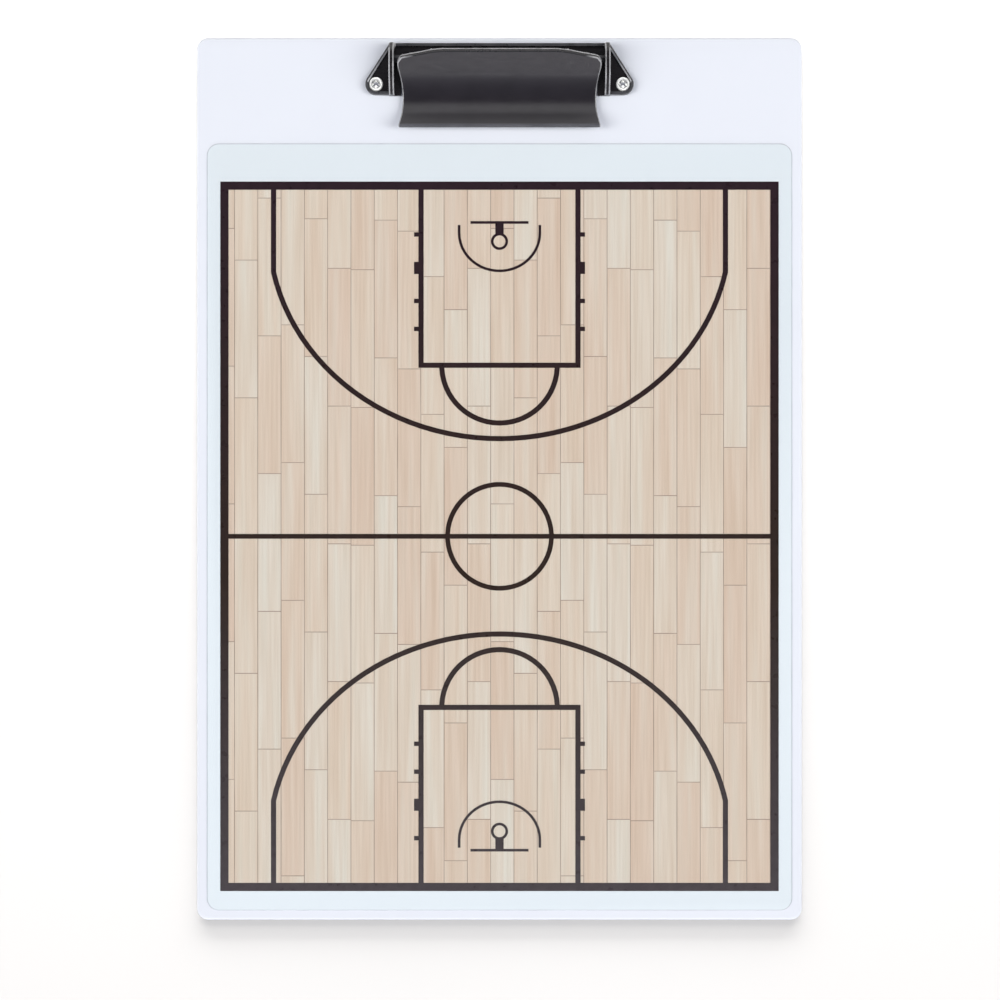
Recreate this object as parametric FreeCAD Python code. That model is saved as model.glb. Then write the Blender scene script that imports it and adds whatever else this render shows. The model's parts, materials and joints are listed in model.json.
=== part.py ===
import FreeCAD, Part
import math
import os

# Clipboard-style tactics board, lying on its back.
# Origin: middle of the back face. +X right, +Y towards the clip, +Z out of the printed face.
# All lengths in millimetres, all angles in degrees.

# Board
board_width = 240.0
board_height = 350.0
board_thickness = 3.0
board_corner_radius = 4.5
board_front_edge_radius = 1.2
board_back_edge_radius = 0.6

# Printed court sheet, its ink and its cover film
sheet_side_margin = 4.0
sheet_bottom_margin = 3.9
sheet_top_margin = 42.1
sheet_corner_radius = 4.8
sheet_thickness = 0.3
floor_print_thickness = 0.04
ink_thickness = 0.06
film_thickness = 0.08

# Court frame on the sheet
court_side_margin = 5.35
court_top_margin = 15.1
court_bottom_margin = 7.7
frame_line = 3.25
court_line = 2.05
thin_line = 1.05
half_way_line = 1.9

# Court features, measured from the outer edge of the frame's short sides
centre_circle_radius = 20.6
three_point_side_margin = 21.1
three_point_straight = 35.9
three_point_reach = 101.9
three_point_kink_angle = 11.7
key_half_width = 31.1
key_length = 72.8
free_throw_radius = 22.9
lane_mark_reach = 1.75
lane_mark_line = 1.75
lane_block_line = 4.8
lane_mark_shares = (0.288, 0.650, 0.802)
lane_block_share = 0.470
backboard_distance = 16.2
backboard_length = 23.0
hoop_distance = 23.7
hoop_radius = 2.87
hoop_stem = 3.3
restricted_reach = 35.4
restricted_half_width = 16.0
restricted_depth = 15.0
restricted_arm = 3.2

# Clip base
clip_top_margin = 2.8
base_depth = 20.5
floor_thickness = 1.5
cheek_side_clearance = 1.4
cheek_thickness = 2.1
cheek_front_height = 4.5
cheek_rear_height = 5.5
cheek_front_run = 7.0
cheek_rear_run = 3.6
cheek_round = 2.0
rear_lip_thickness = 1.1
rear_lip_height = 3.0
ear_radius = 4.2
ear_rim_width = 1.2
ear_rim_height = 1.1

# Rivets through the ears, and their washers let into the back
rivet_side_offset = 5.25
rivet_top_margin = 18.8
rivet_shank_radius = 2.0
rivet_bore_radius = 1.5
rivet_mouth_radius = 1.9
rivet_bore_depth = 2.6
rivet_drill_angle = 118.0
rivet_flange_radius = 2.85
rivet_flange_thickness = 0.5
rivet_clearance = 0.05
washer_radius = 4.5
washer_thickness = 0.5
washer_pocket_clearance = 0.2
rivet_recess = 0.2

# Lever: a trough of even thickness, pad behind and lip in front of its valley
lever_thickness = 2.0
jaw_gap = 0.3
valley_top_margin = 24.8
valley_radius = 12.9
pad_angle = 47.0
pad_length = 10.7
lip_angle = 30.0
lip_length = 5.0
lever_half_width = 40.15
waist_inset = 1.85
lip_inset = 0.2
thumb_half_width = 24.4
thumb_corner_radius = 20.0
shoulder_drop = 3.5
shoulder_side = 1.5
shoulder_radius = 3.0
lip_corner_radius = 0.6
lever_clearance = 0.3
notch_side_clearance = 0.6

# Hinge pin, lever lugs and torsion springs
pin_radius = 1.5
pin_seat_clearance = 0.02
pin_running_clearance = 0.05
lug_wall = 0.95
lug_width = 3.0
lug_inner_x = 12.0
lug_side_inset = 6.15
spring_wire = 1.0
spring_radius = 2.6
spring_pitch = 1.47
spring_full_turns = 4
spring_pad_leg = 6.5
spring_floor_leg = 4.0
spring_seat_gap = 0.3

# Every cut runs past its faces by this much
overrun = 2.0

# Worked out from the sizes above
face_z = board_thickness
board_top_y = board_height / 2
floor_print_z = face_z + sheet_thickness
ink_z = floor_print_z + floor_print_thickness
film_z = ink_z + ink_thickness
court_width = board_width - 2 * (sheet_side_margin + court_side_margin)
court_end_y = board_top_y - sheet_top_margin - court_top_margin
court_start_y = -board_top_y + sheet_bottom_margin + court_bottom_margin
court_centre_y = (court_end_y + court_start_y) / 2
base_rear_y = board_top_y - clip_top_margin
base_front_y = base_rear_y - base_depth
floor_z = face_z + floor_thickness
waist_half_width = lever_half_width - waist_inset
lip_half_width = lever_half_width - lip_inset
cheek_inner = lever_half_width + cheek_side_clearance
cheek_outer = cheek_inner + cheek_thickness
rivet_half_spacing = cheek_outer + rivet_side_offset
rivet_y = board_top_y - rivet_top_margin
valley_y = board_top_y - valley_top_margin
valley_z = face_z + jaw_gap + lever_thickness
pin_z = floor_z + spring_seat_gap + spring_wire / 2 + spring_radius
lug_radius = pin_radius + pin_running_clearance + lug_wall
lug_outer_x = lever_half_width - lug_side_inset
spring_x = (lug_inner_x + lug_outer_x) / 2
pocket_depth = rivet_recess + rivet_flange_thickness + washer_thickness


def plan(x, y):
    return FreeCAD.Vector(x, y, 0)


def profile(y, z):
    return FreeCAD.Vector(0, y, z)


def turned(angle):
    # Unit step in a side view: 0 points to +Y, 90 points to +Z
    return profile(math.cos(math.radians(angle)), math.sin(math.radians(angle)))


def rounded_wire(corners):
    # Closed outline through (point, radius) pairs, each corner rounded by a tangent arc
    starts, mids, ends = [], [], []
    for i, (point, radius) in enumerate(corners):
        before = (corners[i - 1][0] - point).normalize()
        after = (corners[(i + 1) % len(corners)][0] - point).normalize()
        half = before.getAngle(after) / 2
        inward = (before + after).normalize()
        starts.append(point + before * (radius / math.tan(half)))
        ends.append(point + after * (radius / math.tan(half)))
        mids.append(point + inward * (radius / math.sin(half) - radius))
    edges = []
    for i, (point, radius) in enumerate(corners):
        if radius > 0:
            edges.append(Part.Arc(starts[i], mids[i], ends[i]).toShape())
        edges.append(Part.LineSegment(ends[i], starts[(i + 1) % len(corners)]).toShape())
    return Part.Wire(edges)


def prism(wire, bottom, height):
    face = Part.Face(wire)
    face.translate(FreeCAD.Vector(0, 0, bottom))
    return face.extrude(FreeCAD.Vector(0, 0, height))


def side_prism(wire, x_from, x_to):
    face = Part.Face(wire)
    face.translate(FreeCAD.Vector(x_from, 0, 0))
    return face.extrude(FreeCAD.Vector(x_to - x_from, 0, 0))


def rectangle(x_from, x_to, y_from, y_to, radius=0.0):
    points = (plan(x_from, y_from), plan(x_to, y_from), plan(x_to, y_to), plan(x_from, y_to))
    return rounded_wire([(point, radius) for point in points])


def upright_cylinder(x, y, radius, bottom, top):
    return Part.makeCylinder(radius, top - bottom, FreeCAD.Vector(x, y, bottom))


def cross_cylinder(y, z, radius, x_from, x_to):
    return Part.makeCylinder(radius, x_to - x_from, FreeCAD.Vector(x_from, y, z), FreeCAD.Vector(1, 0, 0))


def mirrored(shape):
    return shape.mirror(FreeCAD.Vector(0, 0, 0), FreeCAD.Vector(1, 0, 0))


def edges_at(shape, z):
    near = overrun / 1000
    return [e for e in shape.Edges if all(abs(v.Z - z) < near for v in e.Vertexes)]


def sheet_wire():
    return rectangle(
        -board_width / 2 + sheet_side_margin,
        board_width / 2 - sheet_side_margin,
        -board_top_y + sheet_bottom_margin,
        board_top_y - sheet_top_margin,
        sheet_corner_radius,
    )


def make_board():
    half_width = board_width / 2
    outline = rectangle(-half_width, half_width, -board_top_y, board_top_y, board_corner_radius)
    plate = prism(outline, 0, board_thickness)
    plate = plate.makeFillet(board_front_edge_radius, edges_at(plate, board_thickness))
    plate = plate.makeFillet(board_back_edge_radius, edges_at(plate, 0))
    for x in (-rivet_half_spacing, rivet_half_spacing):
        pocket_radius = washer_radius + washer_pocket_clearance
        hole_radius = rivet_shank_radius + rivet_clearance
        plate = plate.cut(upright_cylinder(x, rivet_y, pocket_radius, -overrun, pocket_depth))
        plate = plate.cut(upright_cylinder(x, rivet_y, hole_radius, -overrun, board_thickness + overrun))
    return plate


def ink(wire):
    return prism(wire, ink_z, ink_thickness)


def bar(x_from, x_to, y_from, y_to):
    return ink(rectangle(x_from, x_to, y_from, y_to))


def oval(x, y, half_width, half_height):
    # Upright oval disc of ink, drawn as a circle where both halves are equal
    centre = FreeCAD.Vector(x, y, 0)
    if half_width == half_height:
        return ink(Part.Wire(Part.Circle(centre, FreeCAD.Vector(0, 0, 1), half_width).toShape()))
    major = max(half_width, half_height)
    minor = min(half_width, half_height)
    along = plan(1, 0) if half_width > half_height else plan(0, 1)
    across = plan(0, 1) if half_width > half_height else plan(-1, 0)
    ellipse = Part.Ellipse(centre + along * major, centre + across * minor, centre)
    return ink(Part.Wire(ellipse.toShape()))


def oval_band(x, y, half_width, half_height, line):
    outer = oval(x, y, half_width + line / 2, half_height + line / 2)
    return outer.cut(oval(x, y, half_width - line / 2, half_height - line / 2))


def lower_half(band, y, x_reach, depth):
    return band.common(bar(-x_reach - overrun, x_reach + overrun, y - depth - overrun, y))


def half_court():
    # Markings of the end next to the clip
    half_line = court_line / 2
    end = court_end_y - frame_line / 2
    pieces = []

    three_point_x = court_width / 2 - three_point_side_margin
    kink_y = court_end_y - three_point_straight
    apex_y = court_end_y - three_point_reach
    kink = math.radians(three_point_kink_angle)
    arc_half_width = three_point_x / math.cos(kink)
    arc_depth = (kink_y - apex_y) / (1 - math.sin(kink))
    arc = oval_band(0, apex_y + arc_depth, arc_half_width, arc_depth, court_line)
    pieces.append(lower_half(arc, kink_y, arc_half_width, arc_depth))

    free_throw_y = court_end_y - key_length
    circle = oval_band(0, free_throw_y, free_throw_radius, free_throw_radius, court_line)
    pieces.append(lower_half(circle, free_throw_y, free_throw_radius, free_throw_radius))
    pieces.append(bar(-key_half_width, key_half_width, free_throw_y - half_line, free_throw_y + half_line))

    backboard_y = court_end_y - backboard_distance
    hoop_y = court_end_y - hoop_distance
    half_board = backboard_length / 2
    pieces.append(bar(-half_board, half_board, backboard_y - thin_line / 2, backboard_y + thin_line / 2))
    pieces.append(bar(-hoop_stem / 2, hoop_stem / 2, hoop_y + hoop_radius, backboard_y))
    pieces.append(oval_band(0, hoop_y, hoop_radius, hoop_radius, thin_line))

    arc_y = court_end_y - restricted_reach + restricted_depth
    arc = oval_band(0, arc_y, restricted_half_width, restricted_depth, thin_line)
    pieces.append(lower_half(arc, arc_y, restricted_half_width, restricted_depth))

    for side in (-1, 1):
        line_x = side * three_point_x
        pieces.append(bar(line_x - half_line, line_x + half_line, kink_y, end))
        line_x = side * key_half_width
        pieces.append(bar(line_x - half_line, line_x + half_line, free_throw_y - half_line, end))
        arm_x = side * restricted_half_width
        pieces.append(bar(arm_x - thin_line / 2, arm_x + thin_line / 2, arc_y, arc_y + restricted_arm))
        marks = [(share, lane_mark_line) for share in lane_mark_shares]
        for share, line in marks + [(lane_block_share, lane_block_line)]:
            mark_y = court_end_y - share * key_length
            mark_x = sorted((line_x, line_x + side * (half_line + lane_mark_reach)))
            pieces.append(bar(mark_x[0], mark_x[1], mark_y - line / 2, mark_y + line / 2))
    return pieces


def make_court_floor():
    # Wood print, which ends under the middle of the frame line
    half_width = court_width / 2 - frame_line / 2
    outline = rectangle(-half_width, half_width, court_start_y + frame_line / 2, court_end_y - frame_line / 2)
    return prism(outline, floor_print_z, floor_print_thickness)


def make_court_markings():
    half_width = court_width / 2
    outer = bar(-half_width, half_width, court_start_y, court_end_y)
    inner_half = half_width - frame_line
    frame = outer.cut(bar(-inner_half, inner_half, court_start_y + frame_line, court_end_y - frame_line))
    half_line = half_way_line / 2
    half_way = bar(-inner_half, inner_half, court_centre_y - half_line, court_centre_y + half_line)
    circle = oval_band(0, court_centre_y, centre_circle_radius, centre_circle_radius, half_way_line)
    near_end = half_court()
    far_end = [p.mirror(plan(0, court_centre_y), FreeCAD.Vector(0, 1, 0)) for p in near_end]
    return frame.multiFuse([half_way, circle] + near_end + far_end).removeSplitter()


def pad_point(along, below=0.0):
    # Point on the pad, measured from where the valley's curve ends, and down from its upper face
    start = profile(valley_y, valley_z + valley_radius) + turned(pad_angle - 90) * valley_radius
    return start + turned(pad_angle) * along + turned(pad_angle - 90) * below


def lip_point(along, below=0.0):
    start = profile(valley_y, valley_z + valley_radius) + turned(-90 - lip_angle) * valley_radius
    return start + turned(180 - lip_angle) * along + turned(-90 - lip_angle) * below


def pin_y():
    # The pin lies where a coil clears both the floor and the underside of the pad
    below = lever_thickness + spring_seat_gap + spring_wire / 2 + spring_radius
    first = pad_point(0, below)
    return first.y + (pin_z - first.z) / math.tan(math.radians(pad_angle))


def ear_wire(inner_x):
    # Right ear: a slanted edge that runs from the cheek's corner, tangent to the round end about the rivet
    corner = plan(cheek_outer, base_rear_y)
    centre = plan(rivet_half_spacing, rivet_y)
    step = centre - corner
    lean = ear_radius / step.Length
    ahead = step.normalize()
    outward = plan(-ahead.y, ahead.x)
    normal = outward * math.sqrt(1 - lean * lean) - ahead * lean
    touch = centre + normal * ear_radius
    bottom = plan(rivet_half_spacing, rivet_y - ear_radius)
    middle = centre + (normal + plan(0, -1)).normalize() * ear_radius
    inner = plan(inner_x, rivet_y - ear_radius)
    start = corner + (touch - corner) * ((inner_x - corner.x) / (touch.x - corner.x))
    return Part.Wire([
        Part.LineSegment(start, touch).toShape(),
        Part.Arc(touch, middle, bottom).toShape(),
        Part.LineSegment(bottom, inner).toShape(),
        Part.LineSegment(inner, start).toShape(),
    ])


def make_ear():
    # The rim follows the slope, the round end and the front; the pocket runs up to the cheek
    ear = prism(ear_wire(cheek_outer), face_z, floor_thickness + ear_rim_height)
    pocket = ear_wire(cheek_outer - ear_rim_width).makeOffset2D(-ear_rim_width)
    ear = ear.cut(prism(pocket, floor_z, ear_rim_height + overrun))
    hole_radius = rivet_shank_radius + rivet_clearance
    hole = upright_cylinder(rivet_half_spacing, rivet_y, hole_radius, face_z - overrun, floor_z + overrun)
    return ear.cut(hole)


def make_cheek():
    top = pin_z + lug_radius + cheek_round
    wire = rounded_wire([
        (profile(base_front_y, face_z), 0.0),
        (profile(base_rear_y, face_z), 0.0),
        (profile(base_rear_y, face_z + cheek_rear_height), cheek_round),
        (profile(base_rear_y - cheek_rear_run, top), cheek_round),
        (profile(base_front_y + cheek_front_run, top), cheek_round),
        (profile(base_front_y, face_z + cheek_front_height), cheek_round),
    ])
    cheek = side_prism(wire, cheek_inner, cheek_outer)
    seat_radius = pin_radius + pin_seat_clearance
    return cheek.cut(cross_cylinder(pin_y(), pin_z, seat_radius, 0, cheek_outer + overrun))


def make_clip_base():
    floor = prism(rectangle(-cheek_inner, cheek_inner, base_front_y, base_rear_y), face_z, floor_thickness)
    # The floor is cut back under the valley, so that the jaw meets the board
    under_radius = valley_radius + lever_thickness
    drop = valley_z + valley_radius - floor_z - lever_clearance
    notch_y = valley_y + math.sqrt(max(under_radius * under_radius - drop * drop, 0))
    notch_x = waist_half_width + notch_side_clearance
    notch = rectangle(-notch_x, notch_x, base_front_y - overrun, notch_y)
    floor = floor.cut(prism(notch, face_z - overrun, floor_thickness + 2 * overrun))
    lip_outline = rectangle(-cheek_inner, cheek_inner, base_rear_y - rear_lip_thickness, base_rear_y)
    rear_lip = prism(lip_outline, floor_z, rear_lip_height - floor_thickness)
    sides = [make_ear(), make_cheek()]
    return floor.multiFuse([rear_lip] + sides + [mirrored(s) for s in sides]).removeSplitter()


def lever_section():
    # Side view of the trough: upper face from thumb end to lip end, then back underneath
    under_radius = valley_radius + lever_thickness
    centre = profile(valley_y, valley_z + valley_radius)
    upper = [pad_point(pad_length), pad_point(0), lip_point(0), lip_point(lip_length)]
    under = [
        lip_point(lip_length, lever_thickness),
        lip_point(0, lever_thickness),
        pad_point(0, lever_thickness),
        pad_point(pad_length, lever_thickness),
    ]
    lowest = turned(-90)
    return Part.Wire([
        Part.LineSegment(upper[0], upper[1]).toShape(),
        Part.Arc(upper[1], centre + lowest * valley_radius, upper[2]).toShape(),
        Part.LineSegment(upper[2], upper[3]).toShape(),
        Part.LineSegment(upper[3], under[0]).toShape(),
        Part.LineSegment(under[0], under[1]).toShape(),
        Part.Arc(under[1], centre + lowest * under_radius, under[2]).toShape(),
        Part.LineSegment(under[2], under[3]).toShape(),
        Part.LineSegment(under[3], upper[0]).toShape(),
    ])


def upright_edges(solid, x, y):
    # Upright edges of a prism that stand at one corner of its plan
    corner = plan(x, y)
    near = overrun / 1000
    return [e for e in solid.Edges if all((plan(v.X, v.Y) - corner).Length < near for v in e.Vertexes)]


def lever_plan():
    # Plan outline of the right half: waisted side and lip, open towards the thumb end
    thumb_y = max(pad_point(pad_length).y, pad_point(pad_length, lever_thickness).y) + overrun
    lip_y = min(lip_point(lip_length).y, lip_point(lip_length, lever_thickness).y)
    lip = plan(lip_half_width, lip_y)
    waist = plan(waist_half_width, valley_y)
    side = plan(lever_half_width, pad_point(pad_length - shoulder_drop).y - shoulder_side)
    outline = Part.Wire([
        Part.LineSegment(plan(0, lip_y), lip).toShape(),
        Part.Arc(lip, waist, side).toShape(),
        Part.LineSegment(side, plan(lever_half_width, thumb_y)).toShape(),
        Part.LineSegment(plan(lever_half_width, thumb_y), plan(0, thumb_y)).toShape(),
        Part.LineSegment(plan(0, thumb_y), plan(0, lip_y)).toShape(),
    ])
    half = prism(outline, 0, pad_point(pad_length).z + overrun)
    half = half.makeFillet(lip_corner_radius, upright_edges(half, lip.x, lip.y))
    return half.fuse(mirrored(half)).removeSplitter()


def pad_outline():
    # Straight thumb end and sloping shoulders, cut square to the pad's face
    reach = lever_half_width
    right = [
        (reach, -reach, 0.0),
        (reach, pad_length - shoulder_drop, shoulder_radius),
        (thumb_half_width, pad_length, thumb_corner_radius),
    ]
    left = [(-x, along, radius) for x, along, radius in reversed(right)]
    wire = rounded_wire([
        (pad_point(along, reach) + FreeCAD.Vector(x, 0, 0), radius) for x, along, radius in right + left
    ])
    return Part.Face(wire).extrude(turned(pad_angle + 90) * (2 * reach))


def make_lug(x):
    pin = profile(pin_y(), pin_z)
    along = turned(pad_angle) * lug_radius
    reach = spring_radius + spring_wire / 2 + spring_seat_gap + lever_thickness / 2
    up = turned(pad_angle + 90) * reach
    web = Part.makePolygon([pin - along, pin + along, pin + along + up, pin - along + up, pin - along])
    first = x - lug_width / 2
    last = x + lug_width / 2
    lug = side_prism(Part.Wire(web), first, last).fuse(cross_cylinder(pin.y, pin.z, lug_radius, first, last))
    bore_radius = pin_radius + pin_running_clearance
    return lug.cut(cross_cylinder(pin.y, pin.z, bore_radius, first - overrun, last + overrun))


def make_clip_lever():
    reach = lever_half_width + overrun
    trough = side_prism(lever_section(), -reach, reach).common(lever_plan()).common(pad_outline())
    lugs = [make_lug(side * x) for side in (-1, 1) for x in (lug_inner_x, lug_outer_x)]
    return trough.multiFuse(lugs).removeSplitter()


def make_hinge_pin():
    return cross_cylinder(pin_y(), pin_z, pin_radius, -cheek_outer, cheek_outer)


def arc_between(start, corner, end):
    # Arc that leaves start and reaches end, tangent to the two lines through corner
    weight = (end - start).Length / (2 * (corner - start).Length)
    middle = (start + corner * (2 * weight) + end) * (1 / (2 + 2 * weight))
    return Part.Arc(start, middle, end).toShape()


def biarc(start, start_way, end, end_way):
    # Two arcs that meet smoothly, with the given directions at both ends
    across = end - start
    both = start_way + end_way
    spread = 2 * (1 - start_way.dot(end_way))
    slope = across.dot(both)
    reach = (math.sqrt(slope * slope + spread * across.dot(across)) - slope) / spread
    first = start + start_way * reach
    second = end - end_way * reach
    middle = (first + second) * 0.5
    return [arc_between(start, first, middle), arc_between(middle, second, end)]


def coil_point(angle, x_start):
    # Angle turns the way the wire is wound, from the lowest point towards the lip
    across = spring_pitch * angle / 360
    return FreeCAD.Vector(x_start + across, pin_y(), pin_z) + turned(-90 - angle) * spring_radius


def coil_way(angle):
    rise = FreeCAD.Vector(spring_pitch / (2 * math.pi * spring_radius), 0, 0)
    return (turned(180 - angle) + rise).normalize()


def spring_path():
    # Floor leg, turns in biarcs of a quarter turn or less, pad leg
    wound = 360 * spring_full_turns + 180 - pad_angle
    x_start = spring_x - spring_pitch * wound / 720
    spans = math.ceil(wound / 90)
    angles = [wound * i / spans for i in range(spans + 1)]
    first = coil_point(0, x_start)
    last = coil_point(wound, x_start)
    edges = [Part.LineSegment(first - coil_way(0) * spring_floor_leg, first).toShape()]
    for a, b in zip(angles, angles[1:]):
        edges += biarc(coil_point(a, x_start), coil_way(a), coil_point(b, x_start), coil_way(b))
    edges.append(Part.LineSegment(last, last + coil_way(wound) * spring_pad_leg).toShape())
    return Part.Wire(edges)


def print_least_gap(path):
    # Least distance between turns, on points spaced a quarter of the wire apart
    points = path.discretize(Distance=spring_wire / 4)
    skip = math.ceil(2 * math.pi * spring_radius / 2 / (spring_wire / 4))
    gaps = [
        (points[i] - points[j]).Length - spring_wire
        for i in range(len(points))
        for j in range(i + skip, len(points))
    ]
    print("least gap between spring turns: %.3f mm" % min(gaps))


def make_spring():
    path = spring_path()
    print_least_gap(path)
    start = path.OrderedVertexes[0].Point
    circle = Part.Circle(start, coil_way(0), spring_wire / 2)
    spring = path.makePipeShell([Part.Wire(circle.toShape())], True, False)
    section = math.pi * spring_wire * spring_wire / 4
    print("spring volume over section times length: %.5f" % (spring.Volume / (section * path.Length)))
    return spring


def make_rivet():
    # Semi-tubular rivet: solid flat head behind, clinched flange with a flared, drilled mouth in front
    top = floor_z + rivet_flange_thickness
    bore_end = top - rivet_bore_depth
    drill_point = bore_end - rivet_bore_radius / math.tan(math.radians(rivet_drill_angle / 2))
    wire = Part.makePolygon([
        FreeCAD.Vector(0, 0, rivet_recess),
        FreeCAD.Vector(rivet_flange_radius, 0, rivet_recess),
        FreeCAD.Vector(rivet_flange_radius, 0, rivet_recess + rivet_flange_thickness),
        FreeCAD.Vector(rivet_shank_radius, 0, rivet_recess + rivet_flange_thickness),
        FreeCAD.Vector(rivet_shank_radius, 0, floor_z),
        FreeCAD.Vector(rivet_flange_radius, 0, floor_z),
        FreeCAD.Vector(rivet_flange_radius, 0, top),
        FreeCAD.Vector(rivet_mouth_radius, 0, top),
        FreeCAD.Vector(rivet_bore_radius, 0, floor_z),
        FreeCAD.Vector(rivet_bore_radius, 0, bore_end),
        FreeCAD.Vector(0, 0, drill_point),
        FreeCAD.Vector(0, 0, rivet_recess),
    ])
    rivet = Part.Face(Part.Wire(wire)).revolve(FreeCAD.Vector(0, 0, 0), FreeCAD.Vector(0, 0, 1), 360)
    rivet.translate(FreeCAD.Vector(rivet_half_spacing, rivet_y, 0))
    return rivet


def make_rivet_washer():
    bottom = rivet_recess + rivet_flange_thickness
    top = bottom + washer_thickness
    disc = upright_cylinder(rivet_half_spacing, rivet_y, washer_radius, bottom, top)
    hole_radius = rivet_shank_radius + rivet_clearance
    hole = upright_cylinder(rivet_half_spacing, rivet_y, hole_radius, bottom - overrun, top + overrun)
    return disc.cut(hole)


def main():
    parts = {
        "board": make_board(),
        "court_sheet": prism(sheet_wire(), face_z, sheet_thickness),
        "court_floor": make_court_floor(),
        "court_markings": make_court_markings(),
        "cover_film": prism(sheet_wire(), film_z, film_thickness),
        "clip_base": make_clip_base(),
        "clip_lever": make_clip_lever(),
        "hinge_pin": make_hinge_pin(),
    }
    makers = {"spring": make_spring, "rivet": make_rivet, "rivet_washer": make_rivet_washer}
    for name, maker in makers.items():
        right = maker()
        parts[name + "_right"] = right
        parts[name + "_left"] = mirrored(right)
    os.makedirs("parts", exist_ok=True)
    for name, shape in parts.items():
        box = shape.BoundBox
        print("%-20s solids %d valid %s volume %.2f box %.2f..%.2f %.2f..%.2f %.2f..%.2f" % (
            name, len(shape.Solids), shape.isValid(), shape.Volume,
            box.XMin, box.XMax, box.YMin, box.YMax, box.ZMin, box.ZMax))
        shape.exportStep("parts/%s.step" % name)
    print("pin axis at y %.3f z %.3f" % (pin_y(), pin_z))


main()
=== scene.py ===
import bpy
import bmesh
import json
import math
import mathutils
import random
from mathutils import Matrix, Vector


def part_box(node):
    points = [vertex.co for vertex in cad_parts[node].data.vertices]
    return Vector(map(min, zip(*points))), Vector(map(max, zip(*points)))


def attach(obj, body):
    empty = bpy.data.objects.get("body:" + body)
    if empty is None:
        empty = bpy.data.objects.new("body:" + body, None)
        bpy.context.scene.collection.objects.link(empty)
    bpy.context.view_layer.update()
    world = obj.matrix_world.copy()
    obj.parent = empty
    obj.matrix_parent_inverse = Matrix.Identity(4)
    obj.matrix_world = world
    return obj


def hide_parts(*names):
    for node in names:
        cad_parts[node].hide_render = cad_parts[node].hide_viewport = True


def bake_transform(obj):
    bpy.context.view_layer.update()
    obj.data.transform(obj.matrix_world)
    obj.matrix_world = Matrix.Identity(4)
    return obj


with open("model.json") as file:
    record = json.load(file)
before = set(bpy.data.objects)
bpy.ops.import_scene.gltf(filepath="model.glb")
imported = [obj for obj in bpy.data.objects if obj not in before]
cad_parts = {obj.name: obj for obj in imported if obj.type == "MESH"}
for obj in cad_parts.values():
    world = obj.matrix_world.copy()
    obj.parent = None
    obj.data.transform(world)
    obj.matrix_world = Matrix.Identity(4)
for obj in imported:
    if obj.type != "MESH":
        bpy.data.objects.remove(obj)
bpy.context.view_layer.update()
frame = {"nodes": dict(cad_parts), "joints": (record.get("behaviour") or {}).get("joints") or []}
nodes = frame["nodes"]
print("frame loaded,", len(nodes), "pieces")

boardLow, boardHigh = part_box("board")
sheetLow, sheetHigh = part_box("court_sheet")
hinge = frame["joints"][0]
hingeY, hingeZ = hinge["pos_m"][1], hinge["pos_m"][2]


# working in edit mode

def pick(piece):
    bpy.ops.object.select_all(action="DESELECT")
    piece.select_set(True)
    bpy.context.view_layer.objects.active = piece


def edit(piece, kind):
    pick(piece)
    bpy.ops.object.mode_set(mode="EDIT")
    bpy.ops.mesh.select_mode(type=kind)
    bpy.ops.mesh.select_all(action="DESELECT")


def done():
    bpy.ops.object.mode_set(mode="OBJECT")


def newest(name):
    piece = bpy.context.active_object
    piece.name = name
    piece.data.name = name
    return piece


def selectVerts(piece, test):
    mesh = bmesh.from_edit_mesh(piece.data)
    for vert in mesh.verts:
        vert.select_set(test(vert.co))
    mesh.select_flush(True)
    bmesh.update_edit_mesh(piece.data)


def selectFaces(piece, test):
    mesh = bmesh.from_edit_mesh(piece.data)
    for face in mesh.faces:
        face.select_set(test(face))
    bmesh.update_edit_mesh(piece.data)


def selectEdges(piece, test):
    mesh = bmesh.from_edit_mesh(piece.data)
    for edge in mesh.edges:
        edge.select_set(test(edge))
    bmesh.update_edit_mesh(piece.data)


def isSharp(edge):
    return edge.calc_face_angle(0.0) > math.radians(50)


def isUpright(face):
    return abs(face.normal.z) < 0.3


def paint(piece, slot):    # gives the selected faces another of the piece's finishes
    piece.active_material_index = slot
    bpy.ops.object.material_slot_assign()


def extrude(step):
    bpy.ops.mesh.extrude_region_move(TRANSFORM_OT_translate={"value": step})


def cutAway(piece, point, normal):    # trims off what lies beyond a plane
    edit(piece, "FACE")
    bpy.ops.mesh.select_all(action="SELECT")
    bpy.ops.mesh.bisect(plane_co=point, plane_no=normal, clear_outer=True)
    done()


def modify(piece, kind, **settings):
    pick(piece)
    bpy.ops.object.modifier_add(type=kind)
    added = piece.modifiers[-1]
    for key, value in settings.items():
        setattr(added, key, value)
    bpy.ops.object.modifier_apply(modifier=added.name)


def cleanUp(piece):
    edit(piece, "FACE")
    bpy.ops.mesh.select_all(action="SELECT")
    bpy.ops.mesh.remove_doubles(threshold=0.000004)
    bpy.ops.mesh.normals_make_consistent(inside=False)
    done()


def smooth(piece, angle):
    pick(piece)
    bpy.ops.object.shade_smooth_by_angle(angle=math.radians(angle))


def place(piece):    # puts size, turn and place into the mesh
    pick(piece)
    bpy.ops.object.transform_apply(location=True, rotation=True, scale=True)


def combine(piece, other, operation):    # UNION or DIFFERENCE of two closed shapes
    modify(piece, "BOOLEAN", operation=operation, solver="EXACT", object=other)
    bpy.data.objects.remove(other)


def cylinder(name, vertices, radius, depth, where, turn=(0, 0, 0)):
    bpy.ops.object.select_all(action="DESELECT")
    bpy.ops.mesh.primitive_cylinder_add(
        vertices=vertices, radius=radius, depth=depth, location=where, rotation=turn)
    return newest(name)


# finishes

def newFinish(name):
    finish = bpy.data.materials.new(name)
    finish.use_nodes = True
    return finish, finish.node_tree, finish.node_tree.nodes["Principled BSDF"]


def addNode(tree, kind, **settings):
    node = tree.nodes.new(kind)
    for key, value in settings.items():
        setattr(node, key, value)
    return node


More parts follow.
